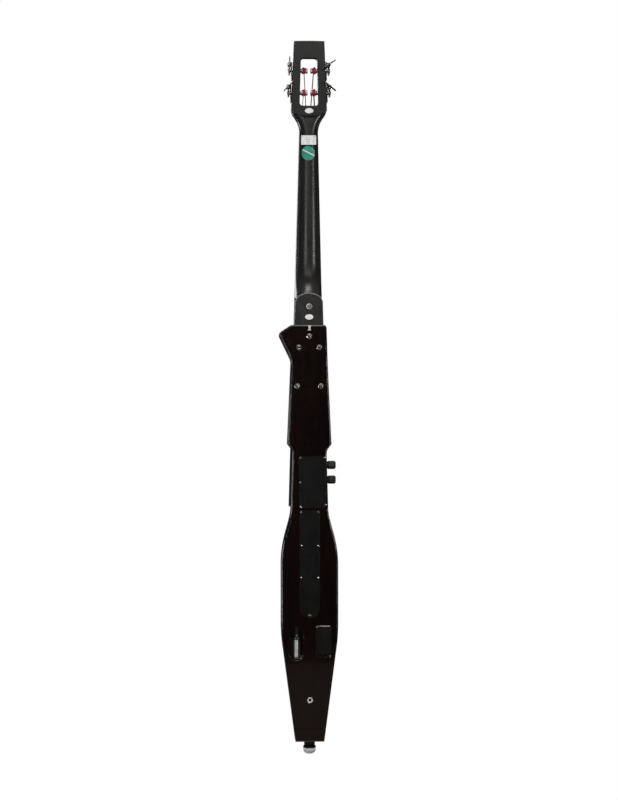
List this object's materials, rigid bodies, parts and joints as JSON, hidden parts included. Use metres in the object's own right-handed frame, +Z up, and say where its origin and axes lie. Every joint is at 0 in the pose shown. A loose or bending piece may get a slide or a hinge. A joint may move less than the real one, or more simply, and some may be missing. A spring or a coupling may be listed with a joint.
{
  "type": "double bass",
  "caption": "Slim solid-body electric upright double bass with bolted neck, slotted head, geared tuners, side knobs, battery box and telescoping endpin.",
  "frame": {"origin": "middle of the flat underside of the endpin's foot, with the endpin pushed in", "axes": "+Z up along the instrument to its head, the strings on the -Y side, the flat back on the +Y side, the thumb stop on the +X side"},
  "size_m": [0.1315, 0.1843, 1.6047],
  "materials": {
    "lacquer": "gloss",
    "satin_black": "satin",
    "ebony": "satin",
    "maple": "satin",
    "bone": "satin",
    "black_plastic": "matt",
    "chrome": "polished",
    "steel": "satin",
    "knob_metal": "satin",
    "brass": "satin",
    "circuit_board": "satin",
    "cable_black": "matt"
  },
  "bodies": {
    "instrument": {"body": "lacquer", "end_block": "lacquer", "neck": "satin_black", "fingerboard": "ebony", "tailpiece": "ebony", "bridge": "maple", "nut": "bone", "control_cover": "black_plastic", "channel_cover": "black_plastic", "battery_case": "black_plastic", "endpin_socket": "black_plastic", "heel_key": "chrome", "jack_plate": "chrome", "heel_bolt": "chrome", "neck_bolt_1": "chrome", "neck_bolt_2": "chrome", "neck_bolt_3": "chrome", "neck_bolt_4": "chrome", "neck_bolt_5": "chrome", "tuner_plate_e": "chrome", "tuner_plate_a": "chrome", "tuner_plate_d": "chrome", "tuner_plate_g": "chrome", "truss_rod": "steel", "pot_volume": "steel", "pot_tone": "steel", "output_jack": "steel", "battery_hinge_pin": "steel", "string_e": "steel", "string_a": "steel", "string_d": "steel", "string_g": "steel", "battery": "knob_metal", "stand_insert": "brass", "tail_anchor": "brass", "pickup_bass_foot": "brass", "pickup_treble_foot": "brass", "preamp_board": "circuit_board", "tail_cable": "cable_black", "pickup_lead": "cable_black", "wiring_loom": "cable_black"},
    "knob_volume_body": {"knob_volume": "knob_metal"},
    "knob_tone_body": {"knob_tone": "knob_metal"},
    "battery_lid_body": {"battery_lid": "black_plastic"},
    "endpin": {"endpin_rod": "steel", "endpin_foot": "chrome"},
    "clamp_screw": {"endpin_thumbscrew": "brass"},
    "key_e": {"tuner_key_e": "chrome"},
    "post_e": {"tuner_gear_e": "brass", "tuner_post_e": "steel"},
    "key_a": {"tuner_key_a": "chrome"},
    "post_a": {"tuner_gear_a": "brass", "tuner_post_a": "steel"},
    "key_d": {"tuner_key_d": "chrome"},
    "post_d": {"tuner_gear_d": "brass", "tuner_post_d": "steel"},
    "key_g": {"tuner_key_g": "chrome"},
    "post_g": {"tuner_gear_g": "brass", "tuner_post_g": "steel"}
  },
  "joints": [
    {"name": "key_e_turn", "type": "hinge", "parent": "instrument", "child": "key_e", "pos_m": [-0.04638, 0.0188, 1.50132], "axis": [0, 0.9965, -0.0837], "continuous": true},
    {"name": "post_e_turn", "type": "hinge", "parent": "instrument", "child": "post_e", "pos_m": [-0.02, 0.01271, 1.48859], "axis": [1, 0, 0], "continuous": true},
    {"name": "key_a_turn", "type": "hinge", "parent": "instrument", "child": "key_a", "pos_m": [-0.04442, 0.0229, 1.55015], "axis": [0, 0.9965, -0.0837], "continuous": true},
    {"name": "post_a_turn", "type": "hinge", "parent": "instrument", "child": "post_a", "pos_m": [-0.02, 0.01681, 1.53741], "axis": [1, 0, 0], "continuous": true},
    {"name": "key_d_turn", "type": "hinge", "parent": "instrument", "child": "key_d", "pos_m": [0.04442, 0.0229, 1.55015], "axis": [0, 0.9965, -0.0837], "continuous": true},
    {"name": "post_d_turn", "type": "hinge", "parent": "instrument", "child": "post_d", "pos_m": [0.02, 0.01681, 1.53741], "axis": [1, 0, 0], "continuous": true},
    {"name": "key_g_turn", "type": "hinge", "parent": "instrument", "child": "key_g", "pos_m": [0.04638, 0.0188, 1.50132], "axis": [0, 0.9965, -0.0837], "continuous": true},
    {"name": "post_g_turn", "type": "hinge", "parent": "instrument", "child": "post_g", "pos_m": [0.02, 0.01271, 1.48859], "axis": [1, 0, 0], "continuous": true},
    {"name": "knob_volume_turn", "type": "hinge", "parent": "instrument", "child": "knob_volume_body", "pos_m": [-0.05, 0.011, 0.651], "axis": [-1, 0, 0], "range_deg": [-150, 150]},
    {"name": "knob_tone_turn", "type": "hinge", "parent": "instrument", "child": "knob_tone_body", "pos_m": [-0.05, 0.011, 0.618], "axis": [-1, 0, 0], "range_deg": [-150, 150]},
    {"name": "battery_lid_open", "type": "hinge", "parent": "instrument", "child": "battery_lid_body", "pos_m": [-0.031, 0.0286, 0.2842], "axis": [1, 0, 0], "range_deg": [0, 100]},
    {"name": "endpin_extend", "type": "slide", "parent": "instrument", "child": "endpin", "axis": [0, 0, -1], "range_m": [0, 0.28]},
    {"name": "clamp_screw_turn", "type": "hinge", "parent": "instrument", "child": "clamp_screw", "pos_m": [0, -0.04, 0.045], "axis": [0, 1, 0], "range_deg": [0, 270]}
  ],
  "couplings": [
    {"joint": "post_e_turn", "follows": "key_e_turn", "ratio": 0.05},
    {"joint": "post_a_turn", "follows": "key_a_turn", "ratio": 0.05},
    {"joint": "post_d_turn", "follows": "key_d_turn", "ratio": 0.05},
    {"joint": "post_g_turn", "follows": "key_g_turn", "ratio": 0.05}
  ]
}
